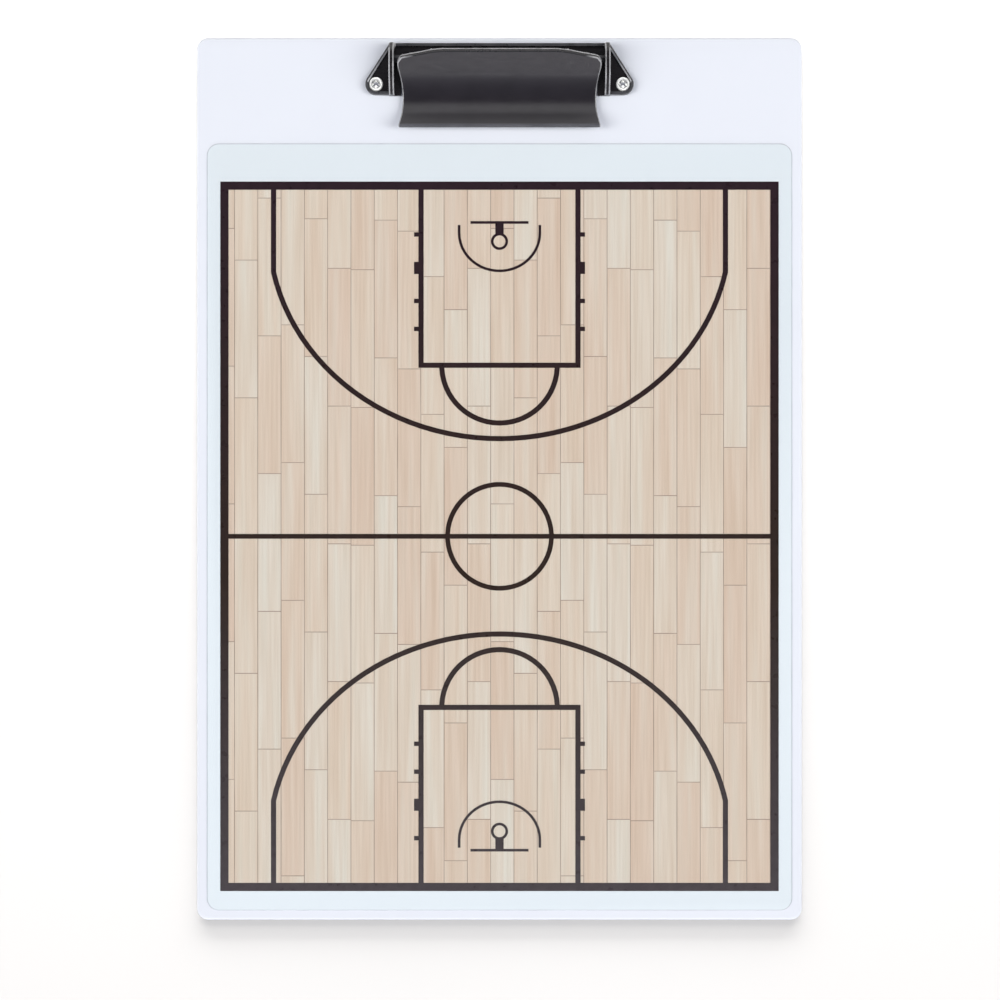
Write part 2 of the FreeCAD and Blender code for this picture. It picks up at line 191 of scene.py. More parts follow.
def objectPlace(tree, stretch=(1, 1, 1)):
    coords = addNode(tree, "ShaderNodeTexCoord")
    mapping = addNode(tree, "ShaderNodeMapping")
    mapping.inputs["Scale"].default_value = stretch
    tree.links.new(coords.outputs["Object"], mapping.inputs["Vector"])
    return mapping.outputs["Vector"]


def noise(tree, where, scale, detail=3.0, roughness=0.5):
    node = addNode(tree, "ShaderNodeTexNoise")
    node.inputs["Scale"].default_value = scale
    node.inputs["Detail"].default_value = detail
    node.inputs["Roughness"].default_value = roughness
    tree.links.new(where, node.inputs["Vector"])
    return node.outputs["Fac"]


def ramp(tree, source, stops):    # stops are (position, colour or grey)
    node = addNode(tree, "ShaderNodeValToRGB")
    band = node.color_ramp
    while len(band.elements) < len(stops):
        band.elements.new(1.0)
    for element, (position, tone) in zip(band.elements, stops):
        element.position = position
        element.color = (*tone, 1) if isinstance(tone, tuple) else (tone, tone, tone, 1)
    tree.links.new(source, node.inputs["Fac"])
    return node.outputs["Color"]


def shaded(tone, factor):
    return tuple(c * factor for c in tone)


def axisPart(tree, where, axis):
    node = addNode(tree, "ShaderNodeSeparateXYZ")
    tree.links.new(where, node.inputs[0])
    return node.outputs[axis]


def between(tree, source, low, high):    # 0 at the low value, 1 at the high one
    node = addNode(tree, "ShaderNodeMapRange")
    node.inputs["From Min"].default_value = low
    node.inputs["From Max"].default_value = high
    tree.links.new(source, node.inputs["Value"])
    return node.outputs["Result"]


def mixed(tree, kind, amount, first, second):
    node = addNode(tree, "ShaderNodeMix", data_type="RGBA", blend_type=kind)
    for socket, value in ((node.inputs[0], amount), (node.inputs[6], first), (node.inputs[7], second)):
        if isinstance(value, (float, tuple)):
            socket.default_value = (*value, 1) if isinstance(value, tuple) else value
        else:
            tree.links.new(value, socket)
    return node.outputs[2]


def bump(tree, shader, height, depth, strength=1.0):
    node = addNode(tree, "ShaderNodeBump")
    node.inputs["Distance"].default_value = depth
    node.inputs["Strength"].default_value = strength
    tree.links.new(height, node.inputs["Height"])
    tree.links.new(node.outputs["Normal"], shader.inputs["Normal"])


def dress(piece, *finishes):
    piece.data.materials.clear()
    for finish in finishes:
        piece.data.materials.append(finish)


def whitePlastic(name, shade=1.0):
    finish, tree, shader = newFinish(name)
    where = objectPlace(tree)
    cloudy = noise(tree, where, 14.0, 4.0)
    stops = [(0.3, (0.804, 0.830, 0.895)), (0.7, (0.826, 0.852, 0.915))]
    colour = ramp(tree, cloudy, [(at, shaded(tone, shade)) for at, tone in stops])
    tree.links.new(colour, shader.inputs["Base Color"])
    handled = noise(tree, where, 55.0, 5.0)
    tree.links.new(ramp(tree, handled, [(0.3, 0.34), (0.75, 0.46)]), shader.inputs["Roughness"])
    bump(tree, shader, noise(tree, where, 1400.0, 2.0), 0.00001, 0.35)
    return finish


def sheetWhite():
    finish, tree, shader = newFinish("sheetWhite")
    where = objectPlace(tree)
    cloudy = noise(tree, where, 35.0, 3.0)
    colour = ramp(tree, cloudy, [(0.3, (0.764, 0.832, 0.872)), (0.7, (0.772, 0.840, 0.880))])
    tree.links.new(colour, shader.inputs["Base Color"])
    wiped = noise(tree, where, 90.0)
    tree.links.new(ramp(tree, wiped, [(0.3, 0.30), (0.7, 0.34)]), shader.inputs["Roughness"])
    bump(tree, shader, noise(tree, where, 900.0, 2.0), 0.000004, 0.2)
    return finish


def cutEdgePaintedShade():
    # grey painted shade line along the sheet's cut edge
    finish, tree, shader = newFinish("cutEdgePaintedShade")
    shadeNoise = noise(tree, objectPlace(tree), 120.0, 3.0)
    colour = ramp(tree, shadeNoise, [(0.3, (0.36, 0.38, 0.43)), (0.7, (0.46, 0.48, 0.53))])
    tree.links.new(colour, shader.inputs["Base Color"])
    shader.inputs["Roughness"].default_value = 0.5
    return finish


def courtInk():
    finish, tree, shader = newFinish("courtInk")
    where = objectPlace(tree)
    # the ink is lighter and greyer towards the board's lower end
    along = between(tree, axisPart(tree, where, "Y"), -0.17, 0.12)
    tone = ramp(tree, along, [
        (0.0, (0.066, 0.055, 0.060)),
        (0.45, (0.022, 0.010, 0.005)),
        (1.0, (0.016, 0.004, 0.009)),
    ])
    density = noise(tree, where, 260.0, 4.0)
    colour = mixed(tree, "MULTIPLY", 1.0, tone, ramp(tree, density, [(0.3, 0.90), (0.75, 1.10)]))
    tree.links.new(colour, shader.inputs["Base Color"])
    shader.inputs["Specular IOR Level"].default_value = 0.25
    tree.links.new(ramp(tree, density, [(0.3, 0.26), (0.7, 0.36)]), shader.inputs["Roughness"])
    bump(tree, shader, noise(tree, where, 1600.0, 2.0), 0.000005, 0.3)
    return finish


def coverFilm():
    finish, tree, shader = newFinish("coverFilm")
    where = objectPlace(tree, (1, 0.5, 1))
    haze = noise(tree, where, 40.0, 3.0)
    colour = ramp(tree, haze, [(0.3, (0.80, 0.83, 0.88)), (0.7, (0.90, 0.92, 0.95))])
    tree.links.new(colour, shader.inputs["Base Color"])
    tree.links.new(ramp(tree, haze, [(0.35, 0.06), (0.7, 0.14)]), shader.inputs["Roughness"])
    shader.inputs["Alpha"].default_value = 0.008
    bump(tree, shader, noise(tree, where, 60.0, 2.0), 0.000006, 0.2)
    return finish


def blackPlastic(name, tone, gloss, shine=0.5):
    finish, tree, shader = newFinish(name)
    where = objectPlace(tree)
    cloudy = noise(tree, where, 120.0, 4.0)
    colour = ramp(tree, cloudy, [(0.3, shaded(tone, 0.8)), (0.7, shaded(tone, 1.1))])
    tree.links.new(colour, shader.inputs["Base Color"])
    shader.inputs["Specular IOR Level"].default_value = shine
    rubbed = noise(tree, objectPlace(tree, (1, 3, 3)), 240.0, 5.0)
    tree.links.new(ramp(tree, rubbed, [(0.3, gloss), (0.75, gloss + 0.10)]), shader.inputs["Roughness"])
    bump(tree, shader, noise(tree, where, 2600.0, 2.0), 0.000008, 0.4)
    return finish


def highlightAndWearEdge(name, tone, fade=None):    # plastic edge painted pale as a highlight, with some handling wear, patchy along its run
    finish, tree, shader = newFinish(name)
    where = objectPlace(tree)
    patchy = noise(tree, where, 210.0, 5.0, 0.6)
    colour = ramp(tree, patchy, [(0.30, shaded(tone, 0.55)), (0.55, tone), (0.8, shaded(tone, 1.2))])
    if fade:    # black up to the first distance from the middle, pale from the second on
        across = addNode(tree, "ShaderNodeMath", operation="ABSOLUTE")
        tree.links.new(axisPart(tree, where, "X"), across.inputs[0])
        pale = between(tree, across.outputs[0], *fade)
        colour = mixed(tree, "MIX", pale, (0.011, 0.0105, 0.012), colour)
    tree.links.new(colour, shader.inputs["Base Color"])
    tree.links.new(ramp(tree, patchy, [(0.3, 0.24), (0.7, 0.36)]), shader.inputs["Roughness"])
    bump(tree, shader, noise(tree, where, 1800.0, 2.0), 0.00001, 0.4)
    return finish


def metal(name, tone, gloss, stretch, metallic=1.0):
    finish, tree, shader = newFinish(name)
    shader.inputs["Metallic"].default_value = metallic
    drawn = noise(tree, objectPlace(tree, stretch), 700.0, 4.0)
    colour = ramp(tree, drawn, [(0.3, shaded(tone, 0.86)), (0.7, tone)])
    tree.links.new(colour, shader.inputs["Base Color"])
    tree.links.new(ramp(tree, drawn, [(0.3, gloss), (0.7, gloss + 0.12)]), shader.inputs["Roughness"])
    bump(tree, shader, drawn, 0.000008, 0.3)
    return finish


def woodPrint():
    finish, tree, shader = newFinish("woodPrint")
    tone = addNode(tree, "ShaderNodeAttribute", attribute_name="plankTone").outputs["Fac"]
    plank = ramp(tree, tone, [
        (0.0, (0.684, 0.560, 0.455)),
        (0.5, (0.706, 0.608, 0.500)),
        (1.0, (0.712, 0.645, 0.552)),
    ])
    # each plank reads its grain from its own stretch of the log
    shift = addNode(tree, "ShaderNodeCombineXYZ")
    for axis in ("X", "Y"):
        tree.links.new(tone, shift.inputs[axis])
    spread = addNode(tree, "ShaderNodeVectorMath", operation="SCALE")
    spread.inputs["Scale"].default_value = 7.3
    tree.links.new(shift.outputs[0], spread.inputs[0])
    grains = []
    for stretch, scale, detail in (((80, 1.6, 1), 14.0, 4.0), ((16, 0.7, 1), 14.0, 2.0)):
        moved = addNode(tree, "ShaderNodeVectorMath", operation="ADD")
        tree.links.new(objectPlace(tree, stretch), moved.inputs[0])
        tree.links.new(spread.outputs[0], moved.inputs[1])
        grains.append(noise(tree, moved.outputs[0], scale, detail))
    fine = ramp(tree, grains[0], [(0.3, (0.925, 0.903, 0.872)), (0.65, (1.022, 1.026, 1.030))])
    broad = ramp(tree, grains[1], [
        (0.32, (0.955, 0.905, 0.865)),
        (0.5, (1.0, 0.985, 0.97)),
        (0.68, (1.01, 1.045, 1.06)),
    ])
    colour = mixed(tree, "MULTIPLY", 1.0, plank, fine)
    colour = mixed(tree, "MULTIPLY", 1.0, colour, broad)
    tree.links.new(colour, shader.inputs["Base Color"])
    shader.inputs["Roughness"].default_value = 0.30
    return finish


def plankJoint():
    finish, tree, shader = newFinish("plankJoint")
    uneven = noise(tree, objectPlace(tree), 70.0, 3.0)
    colour = ramp(tree, uneven, [(0.35, (0.31, 0.225, 0.175)), (0.65, (0.43, 0.325, 0.26))])
    tree.links.new(colour, shader.inputs["Base Color"])
    shader.inputs["Roughness"].default_value = 0.32
    return finish


leverBlack = blackPlastic("leverBlack", (0.0135, 0.0110, 0.0150), 0.28)
baseBlack = blackPlastic("baseBlack", (0.010, 0.0085, 0.0095), 0.24, 0.35)
# darker, duller black for the thumb end's band: painted shade
thumbPaintedShade = blackPlastic("thumbPaintedShade", (0.010, 0.0085, 0.010), 0.40, 0.25)
# mid grey painted sheen, patchy like scuffs, for the ears' rims and the rear wall's top
sheenScuffedEdge = highlightAndWearEdge("sheenScuffedEdge", (0.060, 0.060, 0.065))
# lighter grey black for the lip's end and its edge line: painted highlight
lipPaintedHighlight = blackPlastic("lipPaintedHighlight", (0.070, 0.070, 0.080), 0.30)
# painted highlight with some edge wear, for the lever's outline, the thumb end's strip and the cheeks' tops
paintedHighlightEdge = highlightAndWearEdge("paintedHighlightEdge", (0.42, 0.42, 0.43))
# painted highlight on the inner edge of the ears' sloping rims, partly edge wear
slopePaintedHighlight = highlightAndWearEdge("slopePaintedHighlight", (0.56, 0.56, 0.58))
# painted highlight round the thumb end's corners, black in the middle
shoulderPaintedHighlight = highlightAndWearEdge("shoulderPaintedHighlight", (0.42, 0.42, 0.43), (0.0335, 0.0385))
nickel = metal("nickel", (0.88, 0.88, 0.86), 0.14, (1, 1, 1))
nickelSatin = metal("nickelSatin", (0.93, 0.93, 0.90), 0.34, (1, 1, 1), 0.45)
pinSteel = metal("pinSteel", (0.050, 0.050, 0.054), 0.34, (0.05, 1, 1))
springSteel = metal("springSteel", (0.42, 0.42, 0.43), 0.26, (1, 1, 1))
print("finishes mixed")


# printed planks of the court

planks = {
    "width": 0.00923,
    "length": 0.0546,
    "jointOffset": -0.0035,    # nearest joint beside the court's middle line
    "jointWidth": 0.00030,
    "staggerShares": (0.31, 0.54, 0.09, 0.01, 0.24, 0.60, 0.61, 0.25, 0.33, 0.66, 0.90, 0.60),
    "seed": 11,
}


def makePlanks():
    low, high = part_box("court_floor")
    width, length = planks["width"], planks["length"]
    firstColumn = math.floor((low.x - planks["jointOffset"]) / width)
    columns = math.ceil((high.x - planks["jointOffset"]) / width) - firstColumn
    left = planks["jointOffset"] + firstColumn * width
    depth = high.y - low.y
    bpy.ops.object.select_all(action="DESELECT")
    bpy.ops.mesh.primitive_grid_add(
        x_subdivisions=columns, y_subdivisions=1, size=1,
        location=(left + columns * width / 2, (low.y + high.y) / 2, high.z))
    piece = newest("court_planks")
    piece.scale = (columns * width, depth, 1)
    place(piece)
    shares = planks["staggerShares"]
    for column in range(columns):
        middle = left + (column + 0.5) * width
        first = high.y - shares[column % len(shares)] * length
        for row in range(math.ceil(depth / length)):
            edit(piece, "FACE")
            selectFaces(piece, lambda face: abs(face.calc_center_bounds().x - middle) < width / 4)
            bpy.ops.mesh.bisect(plane_co=(0, first - row * length, 0), plane_no=(0, 1, 0))
            done()
    for side, edge in ((-1, low.x), (1, high.x)):
        cutAway(piece, (edge, 0, 0), (side, 0, 0))
    edit(piece, "FACE")
    bpy.ops.mesh.select_all(action="SELECT")
    bpy.ops.mesh.inset(thickness=planks["jointWidth"] / 2, use_individual=True)
    done()
    # the inset leaves the planks selected, and the joint faces not
    dress(piece, woodPrint(), plankJoint())
    draw = random.Random(planks["seed"])
    tones = piece.data.attributes.new("plankTone", "FLOAT", "FACE")
    for face in piece.data.polygons:
        tones.data[face.index].value = draw.random() if face.select else 0.0
        face.material_index = 0 if face.select else 1
    modify(piece, "SOLIDIFY", thickness=high.z - low.z, offset=-1)
    cleanUp(piece)
    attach(piece, "board")
    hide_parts("court_floor")
    print("planks laid:", columns, "columns")


makePlanks()


# board plate

plate = {
    "cornerRadius": 0.0045,
    "frontEdge": 0.0012,
    "backEdge": 0.0006,
    "washerPocket": 0.0047,
    "washerPocketDepth": 0.0012,
    "rivetHole": 0.00205,
    "drillRun": 0.002,    # how far a drill runs past a face
    "sidePaintedShade": 0.87,    # the upright sides get painted shade, a little darker than the face
}


def roundedPlate(name, low, high, radius):    # flat plate with round corners, as a closed block
    bpy.ops.object.select_all(action="DESELECT")
    bpy.ops.mesh.primitive_plane_add(size=1, location=((low.x + high.x) / 2, (low.y + high.y) / 2, low.z))
    piece = newest(name)
    piece.scale = (high.x - low.x, high.y - low.y, 1)
    place(piece)
    edit(piece, "VERT")
    bpy.ops.mesh.select_all(action="SELECT")
    bpy.ops.mesh.bevel(offset=radius, segments=12, affect="VERTICES")
    bpy.ops.mesh.select_all(action="SELECT")
    extrude((0, 0, high.z - low.z))
    done()
    cleanUp(piece)
    return piece


def roundRim(piece, z, radius, segments, finish=-1):    # bevels the rim edges that lie at one height
    edit(piece, "EDGE")
    selectEdges(piece, lambda edge: all(abs(vert.co.z - z) < 0.00001 for vert in edge.verts))
    bpy.ops.mesh.bevel(offset=radius, segments=segments, affect="EDGES", material=finish)
    done()


def drill(piece, x, y, radius, low, high):
    bit = cylinder("drill_bit", 64, radius, high - low, (x, y, (low + high) / 2))
    combine(piece, bit, "DIFFERENCE")


def makeBoard():
    piece = roundedPlate("board_plate", boardLow, boardHigh, plate["cornerRadius"])
    roundRim(piece, boardHigh.z, plate["frontEdge"], 5)
    roundRim(piece, boardLow.z, plate["backEdge"], 3)
    run = plate["drillRun"]
    for side in ("left", "right"):
        low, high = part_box("rivet_" + side)
        x, y = (low.x + high.x) / 2, (low.y + high.y) / 2
        drill(piece, x, y, plate["washerPocket"], -run, plate["washerPocketDepth"])
        drill(piece, x, y, plate["rivetHole"], -run, boardHigh.z + run)
    smooth(piece, 40)
    dress(piece, whitePlastic("whitePlastic"), whitePlastic("plateSidePaintedShade", plate["sidePaintedShade"]))
    # the upright side faces take the shaded copy: painted shade
    for face in piece.data.polygons:
        face.material_index = 1 if isUpright(face) else 0
    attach(piece, "board")
    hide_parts("board")
    print("board plate moulded")
    return piece


boardPlate = makeBoard()


# court sheet

sheet = {
    "cornerRadius": 0.0048,
    "edgeRound": 0.00024,
}


def makeSheet():
    piece = roundedPlate("court_sheet_card", sheetLow, sheetHigh, sheet["cornerRadius"])
    dress(piece, sheetWhite(), cutEdgePaintedShade())
    # the rim bevel takes the painted shade line
    roundRim(piece, sheetHigh.z, sheet["edgeRound"], 2, 1)
    smooth(piece, 40)
    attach(piece, "board")
    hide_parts("court_sheet")
    print("court sheet laid")


makeSheet()
dress(nodes["court_markings"], courtInk())
dress(nodes["cover_film"], coverFilm())


# clip lever

lever = {
    "thickness": 0.0020,
    "valleyRadius": 0.0129,
    "valleyTopMargin": 0.0248,
    "jawGap": 0.0003,
    "padAngle": 47.0,
    "padLength": 0.0107,
    "lipAngle": 30.0,
    "lipLength": 0.0050,
    "halfWidth": 0.04015,
    "waistInset": 0.00185,
    "lipInset": 0.0002,
    "thumbHalfWidth": 0.0244,
    "shoulderDrop": 0.0024,
    "shoulderSide": 0.0030,
    "shoulderRadius": 0.0026,
    "edgeRound": 0.00045,
    "darkBand": 0.00135,    # width of the band of painted shade on the thumb's end face
    "thumbReach": 0.0060,    # depth of the thumb's end face along the board
    "endLine": 0.0045,    # the end's painted highlight line runs this far round the corners
    "lipFace": 0.0004,
    "lipLine": 0.0010,
    "lipLineStop": 0.0012,    # the lip's line stops this far from the sides
    "columns": 40,
    "lipSteps": 4,
    "valleySteps": 24,
    "padSteps": 6,
    "bendStart": 0.86,    # share of the thumb's width where its edge starts to bend away
}
leverFinishes = {
    "plain": leverBlack,
    "bright": paintedHighlightEdge,
    "lip": lipPaintedHighlight,
    "shoulder": shoulderPaintedHighlight,
    "thumb": thumbPaintedShade,
    "bevel": leverBlack,    # marks new edge faces until they get their own finish
}
leverSlots = {name: slot for slot, name in enumerate(leverFinishes)}
lugs = {
    "xPlaces": (-0.034, -0.012, 0.012, 0.034),
    "width": 0.0030,
    "radius": 0.0025,
    "bore": 0.00155,
    "reach": 0.0044,    # from the pin's middle up into the pad
}


def leverHalfWidth(y, waistY, lipY, sideY):
    edgeY, inset = (lipY, lever["lipInset"]) if y < waistY else (sideY, 0.0)
    share = min((y - waistY) / (edgeY - waistY), 1.0)
    return lever["halfWidth"] - lever["waistInset"] + (lever["waistInset"] - inset) * share * share


def troughSkin(pad, lip, waistY, centreZ):
    radius = lever["valleyRadius"]
    lipStart = (waistY - radius * math.sin(lip), centreZ - radius * math.cos(lip))
    length = lever["lipLength"]
    lipEnd = (lipStart[0] - length * math.cos(lip), lipStart[1] + length * math.sin(lip))
    bpy.ops.object.select_all(action="DESELECT")
    bpy.ops.mesh.primitive_grid_add(
        x_subdivisions=lever["columns"], y_subdivisions=1, size=1, location=(0, lipEnd[0] - 0.5, lipEnd[1]))
    piece = newest("clip_lever_trough")
    piece.scale = (2 * lever["halfWidth"], 1, 1)
    place(piece)
    # only the row at the lip's end stays, and grows into the trough
    edit(piece, "VERT")
    selectVerts(piece, lambda co: co.y < lipEnd[0] - 0.25)
    bpy.ops.mesh.delete(type="VERT")
    selectVerts(piece, lambda co: True)
    for step in range(lever["lipSteps"]):
        extrude((0, *((start - end) / lever["lipSteps"] for start, end in zip(lipStart, lipEnd))))
    bpy.ops.mesh.spin(
        steps=lever["valleySteps"], angle=-(pad + lip), center=(0, waistY, centreZ), axis=(1, 0, 0))
    run = lever["padLength"] / lever["padSteps"]
    for step in range(lever["padSteps"]):
        extrude((0, run * math.cos(pad), run * math.sin(pad)))
    done()
    cleanUp(piece)
    return piece, lipEnd[0]


def trimShoulders(piece, thumbY):
    # tangent cuts round the thumb end: gentle bend, slope, then the round corner
    slope = math.atan2(lever["shoulderDrop"], lever["halfWidth"] - lever["thumbHalfWidth"])
    radius, bendStart = lever["shoulderRadius"], lever["bendStart"]
    cornerX = lever["halfWidth"] - radius
    slopeAtCorner = thumbY - (cornerX - lever["thumbHalfWidth"]) * math.tan(slope)
    cornerY = slopeAtCorner - radius / math.cos(slope)
    for side in (-1, 1):
        for share in (0.25, 0.5, 0.75, 1.0):
            bend = slope * share
            turnX = lever["thumbHalfWidth"] * (bendStart + (1 - bendStart) * share)
            cutAway(piece, (side * turnX, thumbY, 0), (side * math.sin(bend), math.cos(bend), 0))
        for step in range(1, 9):
            bend = slope + (math.pi / 2 - slope) * step / 9
            point = (side * (cornerX + radius * math.sin(bend)), cornerY + radius * math.cos(bend), 0)
            cutAway(piece, point, (side * math.sin(bend), math.cos(bend), 0))


def makeLug(x, pad):
    middle, across = (x, hingeY, hingeZ), (0, math.pi / 2, 0)
    lug = cylinder("lever_lug", 48, lugs["radius"], lugs["width"], middle, across)
    place(lug)
    # the half that faces the pad grows up into it
    up = (0, -math.sin(pad), math.cos(pad))
    edit(lug, "FACE")
    selectFaces(lug, lambda face: face.normal.y * up[1] + face.normal.z * up[2] > 0.02)
    extrude(tuple(c * lugs["reach"] for c in up))
    bpy.ops.mesh.select_all(action="SELECT")
    bpy.ops.mesh.normals_make_consistent(inside=False)
    top = (x, hingeY + up[1] * lugs["reach"], hingeZ + up[2] * lugs["reach"])
    bpy.ops.mesh.bisect(plane_co=top, plane_no=up, use_fill=True, clear_outer=True)
    done()
    combine(lug, cylinder("lug_bore", 48, lugs["bore"], 3 * lugs["width"], middle, across), "DIFFERENCE")
    return lug


def roundLeverEdges(piece, pad, thumb, lipY):
    thumbY, thumbZ = thumb
    padUp = mathutils.Vector((0, -math.sin(pad), math.cos(pad)))
    split = mathutils.Vector((0, thumbY, thumbZ)) - padUp * lever["darkBand"]

    def onThumbEnd(face):
        facesBack = face.normal.y > 0.15 and abs(face.normal.dot(padUp)) < 0.2
        return facesBack and face.calc_center_median().y > thumbY - lever["thumbReach"]

    def lowerThumbEdge(edge):
        sides = edge.link_faces
        return any(onThumbEnd(face) for face in sides) and any(face.normal.z < -0.3 for face in sides)

    def inDarkBand(face):
        return abs(face.normal.x) < 0.7 and (face.calc_center_median() - split).dot(padUp) > 0

    # the thumb end gets a band of painted shade and, below it, a strip of painted highlight
    edit(piece, "FACE")
    selectFaces(piece, onThumbEnd)
    bpy.ops.mesh.bisect(plane_co=split, plane_no=padUp)
    for finish, dark in (("thumb", True), ("bright", False)):
        selectFaces(piece, lambda face: onThumbEnd(face) and inDarkBand(face) == dark)
        paint(piece, leverSlots[finish])
    # the lip's end face gets a painted highlight
    lipFace = lipY + lever["lipFace"]
    selectFaces(piece, lambda face: face.normal.y < -0.8 and face.calc_center_median().y < lipFace)
    paint(piece, leverSlots["lip"])
    done()
    edit(piece, "EDGE")
    selectEdges(piece, lambda edge: isSharp(edge) and not lowerThumbEdge(edge))
    bevel = leverSlots["bevel"]
    bpy.ops.mesh.bevel(offset=lever["edgeRound"], segments=3, affect="EDGES", material=bevel)
    done()
    lipSide = lever["halfWidth"] - lever["lipLineStop"]
    # the new bevel faces take painted highlights: round the thumb end, along the lip, and bright elsewhere
    for face in piece.data.polygons:
        if face.material_index == bevel:
            across, along = abs(face.center.x), face.center.y
            onEnd = along > thumbY - lever["endLine"]
            onLip = along < lipY + lever["lipLine"] and across < lipSide
            face.material_index = leverSlots["shoulder" if onEnd else "lip" if onLip else "bright"]
    pick(piece)
    piece.data.materials.pop(index=bevel)


def makeLever():
    waistY = boardHigh.y - lever["valleyTopMargin"]
    centreZ = boardHigh.z + lever["jawGap"] + lever["thickness"] + lever["valleyRadius"]
    pad, lip = math.radians(lever["padAngle"]), math.radians(lever["lipAngle"])
    piece, lipY = troughSkin(pad, lip, waistY, centreZ)
    thumbY = max(vert.co.y for vert in piece.data.vertices)
    thumbZ = max(vert.co.z for vert in piece.data.vertices)
    sideY = thumbY - lever["shoulderDrop"] - lever["shoulderSide"]
    # draw the sides in towards the waist, row by row
    for y in sorted({round(vert.co.y, 6) for vert in piece.data.vertices}):
        edit(piece, "VERT")
        selectVerts(piece, lambda co: abs(co.y - y) < 0.000005)
        width = leverHalfWidth(y, waistY, lipY, sideY) / lever["halfWidth"]
        bpy.ops.transform.resize(value=(width, 1, 1), center_override=(0, 0, 0))
        done()
    trimShoulders(piece, thumbY)
    if sum(face.normal.z for face in piece.data.polygons) < 0:    # the skin is the upper face
        edit(piece, "FACE")
        bpy.ops.mesh.select_all(action="SELECT")
        bpy.ops.mesh.flip_normals()
        done()
    modify(piece, "SOLIDIFY", thickness=lever["thickness"], offset=-1, use_even_offset=True)
    dress(piece, *leverFinishes.values())
    roundLeverEdges(piece, pad, (thumbY, thumbZ), lipY)
    for x in lugs["xPlaces"]:
        combine(piece, makeLug(x, pad), "UNION")
    smooth(piece, 32)
    modify(piece, "WEIGHTED_NORMAL", keep_sharp=True)
    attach(piece, "lever")
    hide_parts("clip_lever")
    print("lever bent:", len(piece.data.polygons), "faces")


makeLever()


# clip base

base = {
    "cheekRound": 0.00055,
    "pocketRound": 0.00050,
    "edgeRound": 0.00050,
    "rimHeight": 0.0026,    # top of the ears' rims
    "cheekStart": 0.0004,    # the cheeks start this far above the rims
    "seatRadius": 0.0017,    # round the pin
    "rearWall": 0.0016,
    "rearWallFoot": 0.0010,
    "lineEnd": 0.0027,    # the cheeks' outer painted highlight lines stop this far below the top
}
baseFinishes = {
    "plain": baseBlack,
    "bright": paintedHighlightEdge,
    "sheenScuffed": sheenScuffedEdge,
    "slope": slopePaintedHighlight,
}
baseSlots = {name: slot for slot, name in enumerate(baseFinishes)}


def makeBase():
    piece = bpy.data.objects.new("clip_base_moulding", nodes["clip_base"].data.copy())
    bpy.context.scene.collection.objects.link(piece)
    dress(piece, *baseFinishes.values())
    edit(piece, "EDGE")
    bpy.ops.mesh.select_all(action="SELECT")
    bpy.ops.mesh.remove_doubles(threshold=0.000002)
    bpy.ops.mesh.customdata_custom_splitnormals_clear()
    bpy.ops.mesh.dissolve_limited(angle_limit=math.radians(1.0))
    done()
    low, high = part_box("clip_base")
    rimZ = low.z + base["rimHeight"]
    cheekZ = rimZ + base["cheekStart"]

    def onCheek(edge):    # along the top of a cheek, not round the pin's seat
        ends = [vert.co for vert in edge.verts]
        inSeat = all(math.hypot(co.y - hingeY, co.z - hingeZ) < base["seatRadius"] for co in ends)
        lengthwise = abs(ends[0].x - ends[1].x) < 0.0001
        return isSharp(edge) and all(co.z > cheekZ for co in ends) and not inSeat and lengthwise

    def outward(edge):    # how far the upright wall at an ear's edge faces away from the middle
        side = math.copysign(1, edge.verts[0].co.x)
        return [(face.normal.x * side, face.normal.y) for face in edge.link_faces if isUpright(face)]

    def onRim(edge):
        return isSharp(edge) and all(abs(vert.co.z - rimZ) < 0.00002 for vert in edge.verts)

    def onOuterRim(edge):    # the slope, the round end and the front of an ear
        return onRim(edge) and any(x > 0.05 or y < -0.9 for x, y in outward(edge))

    def onPocketSlope(edge):    # inner edge of the sloping rim
        return onRim(edge) and any(x < -0.3 and y < -0.2 for x, y in outward(edge))

    def onRimTop(face):    # flat tops of the ears' rims and of the rear wall
        centre = face.calc_center_median()
        onWall = centre.y > high.y - base["rearWall"] and centre.z > low.z + base["rearWallFoot"]
        return face.normal.z > 0.9 and (abs(centre.z - rimZ) < 0.00002 or onWall)

    # the rim tops get the mid grey painted sheen
    edit(piece, "FACE")
    selectFaces(piece, onRimTop)
    paint(piece, baseSlots["sheenScuffed"])
    done()
    # bevels: painted highlight on the cheek tops, painted sheen on the ears' outer rims, painted highlight on
    # the pocket slopes
    for test, size, finish in (
            (onCheek, "cheekRound", "bright"),
            (onOuterRim, "edgeRound", "sheenScuffed"),
            (onPocketSlope, "pocketRound", "slope")):
        edit(piece, "EDGE")
        selectEdges(piece, test)
        bpy.ops.mesh.bevel(offset=base[size], segments=3, affect="EDGES", material=baseSlots[finish])
        done()
    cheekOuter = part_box("hinge_pin")[1].x - 2 * base["cheekRound"]
    lineEnd = high.y - base["lineEnd"]

    def onOuterLine(face):
        return face.material_index == baseSlots["bright"] and abs(face.calc_center_median().x) > cheekOuter

    # the cheeks' outer highlight lines end short of the top; the faces past the end take the painted sheen
    edit(piece, "FACE")
    selectFaces(piece, onOuterLine)
    bpy.ops.mesh.bisect(plane_co=(0, lineEnd, 0), plane_no=(0, 1, 0))
    selectFaces(piece, lambda face: onOuterLine(face) and face.calc_center_median().y > lineEnd)
    paint(piece, baseSlots["sheenScuffed"])
    done()
    smooth(piece, 32)
    modify(piece, "WEIGHTED_NORMAL", keep_sharp=True)
    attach(piece, "board")
    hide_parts("clip_base")
    print("clip base rounded off:", len(piece.data.polygons), "faces")


makeBase()


# rivets

rivet = {
    "segments": 64,
    "flangeRadius": 0.00285,
    "shankRadius": 0.0020,
    "boreRadius": 0.0015,
    "boreDepth": 0.0026,
    "drillPoint": 0.0009,
    "flange": 0.0005,
}


